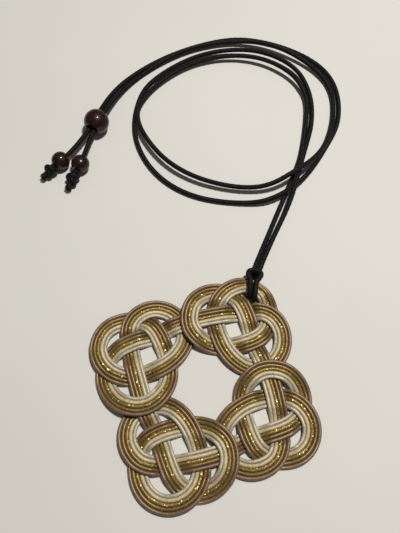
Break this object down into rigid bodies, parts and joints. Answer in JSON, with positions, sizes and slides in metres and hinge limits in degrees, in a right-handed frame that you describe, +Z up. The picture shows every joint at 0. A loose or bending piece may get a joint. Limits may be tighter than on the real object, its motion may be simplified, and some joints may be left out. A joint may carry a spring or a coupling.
{
  "type": "mizuhiki pendant necklace",
  "caption": "Necklace laid flat: a ring of awaji knots plaited from a band of mizuhiki paper cords, hung by a hitch on a doubled black waxed cord with wooden beads at its ends.",
  "frame": {"origin": "middle of the pendant's outline, on the surface that the necklace lies on", "axes": "+Z up from the surface, out of the pendant's face; +Y towards the neck cord's loop, so that the hitch is at the upper right of the pendant; +X to the right as it is seen from above"},
  "size_m": [0.0871, 0.1379, 0.0072],
  "materials": {
    "mizuhiki": "satin, with gold glitter",
    "neck_cord": "waxed cotton, slight sheen",
    "beads": "gloss lacquer"
  },
  "bodies": {
    "root": {"knot_upper_left": "mizuhiki", "knot_upper_right": "mizuhiki", "knot_lower_right": "mizuhiki", "knot_lower_left": "mizuhiki", "hitch": "neck_cord", "neck_strand_inner": "neck_cord", "neck_strand_outer": "neck_cord", "slide_bead": "beads", "end_bead_left": "beads", "end_bead_right": "beads", "end_knot_left": "neck_cord", "end_knot_right": "neck_cord"}
  },
  "joints": []
}
